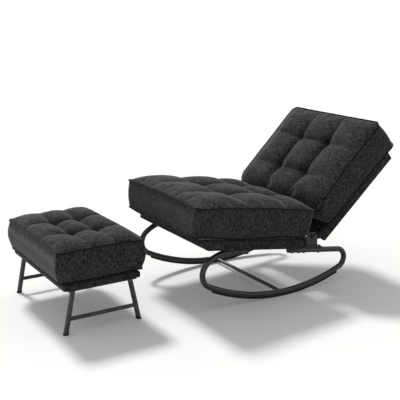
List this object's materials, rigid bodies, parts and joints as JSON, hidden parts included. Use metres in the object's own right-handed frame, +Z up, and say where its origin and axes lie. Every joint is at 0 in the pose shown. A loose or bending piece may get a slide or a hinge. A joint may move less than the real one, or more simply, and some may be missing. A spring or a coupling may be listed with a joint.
{
  "type": "rocking recliner with ottoman",
  "caption": "Armless rocking recliner: tufted charcoal cushions on wrapped boards over bent steel rocker loops, a ratchet-hinged back and a matching loose ottoman on splayed legs.",
  "frame": {"origin": "on the floor, under the centre of the bounding box of the chair and ottoman together", "axes": "+Z up, the chair faces -Y toward the ottoman, +X is the chair's left-hand side; metres"},
  "size_m": [0.6782, 1.5378, 0.7028],
  "materials": {
    "charcoal_fabric": "mottled woven upholstery",
    "foam": "upholstery foam",
    "dust_cloth": "non-woven dust cloth",
    "wood": "raw sawn timber and plywood",
    "black_steel": "semi-gloss powder coat",
    "hinge_steel": "dark grey paint",
    "zinc_steel": "zinc plated",
    "rubber": "black extruded strip",
    "black_plastic": "moulded"
  },
  "bodies": {
    "ottoman": {"ottoman_cushion_cover": "charcoal_fabric", "ottoman_cushion_core": "foam", "ottoman_board": "wood", "ottoman_board_cover": "charcoal_fabric", "ottoman_foot_caps": "black_plastic", "ottoman_screws": "zinc_steel", "ottoman_mount_bar_left": "black_steel", "ottoman_mount_bar_right": "black_steel", "ottoman_stretcher_left": "black_steel", "ottoman_stretcher_right": "black_steel", "ottoman_leg_front_left": "black_steel", "ottoman_leg_front_right": "black_steel", "ottoman_leg_rear_left": "black_steel", "ottoman_leg_rear_right": "black_steel"},
    "chair_base": {"rocker_tube_left": "black_steel", "rocker_tube_right": "black_steel", "runner_pad_left": "rubber", "runner_pad_right": "rubber", "hinge_bracket_left": "hinge_steel", "hinge_bracket_right": "hinge_steel", "hinge_pin_left": "zinc_steel", "hinge_pin_right": "zinc_steel", "seat_side_rail_left": "wood", "seat_side_rail_right": "wood", "rocker_cross_bar": "black_steel", "tube_end_plugs": "black_plastic", "rocker_bolts": "zinc_steel", "rocker_tee_nuts": "zinc_steel", "bracket_bolts": "zinc_steel", "bracket_nuts": "zinc_steel", "seat_front_rail": "wood", "seat_middle_rail": "wood", "seat_rear_rail": "wood", "seat_deck": "wood", "seat_frame_cover": "charcoal_fabric", "seat_dust_cover": "dust_cloth", "seat_cushion_cover": "charcoal_fabric", "seat_cushion_core": "foam"},
    "back": {"back_side_rail_left": "wood", "back_side_rail_right": "wood", "hinge_arm_left": "hinge_steel", "hinge_arm_right": "hinge_steel", "catch_pin_left": "zinc_steel", "catch_pin_right": "zinc_steel", "catch_spring_left": "zinc_steel", "catch_spring_right": "zinc_steel", "back_top_rail": "wood", "back_bottom_rail": "wood", "back_panel": "wood", "back_frame_cover": "charcoal_fabric", "back_rear_cover": "charcoal_fabric", "back_cushion_cover": "charcoal_fabric", "back_cushion_core": "foam", "arm_screws": "zinc_steel"},
    "left_catch": {"ratchet_catch_left": "hinge_steel"},
    "right_catch": {"ratchet_catch_right": "hinge_steel"}
  },
  "joints": [
    {"name": "rock", "type": "hinge", "parent": "ottoman", "child": "chair_base", "pos_m": [0.03654, 0.21114, 0.857], "axis": [-1, 0, 0], "range_deg": [-12, 12]},
    {"name": "back_recline", "type": "hinge", "parent": "chair_base", "child": "back", "pos_m": [0.03654, 0.36114, 0.238], "axis": [-1, 0, 0], "range_deg": [-10, 30]},
    {"name": "left_catch_lift", "type": "hinge", "parent": "back", "child": "left_catch", "pos_m": [0.29604, 0.40187, 0.23446], "axis": [-1, 0, 0], "range_deg": [0, 8], "stiffness_Nm_per_rad": 0.2, "springref_deg": -11.46, "deforming": ["catch_spring_left"]},
    {"name": "right_catch_lift", "type": "hinge", "parent": "back", "child": "right_catch", "pos_m": [-0.22296, 0.40187, 0.23446], "axis": [-1, 0, 0], "range_deg": [0, 8], "stiffness_Nm_per_rad": 0.2, "springref_deg": -11.46, "deforming": ["catch_spring_right"]}
  ]
}
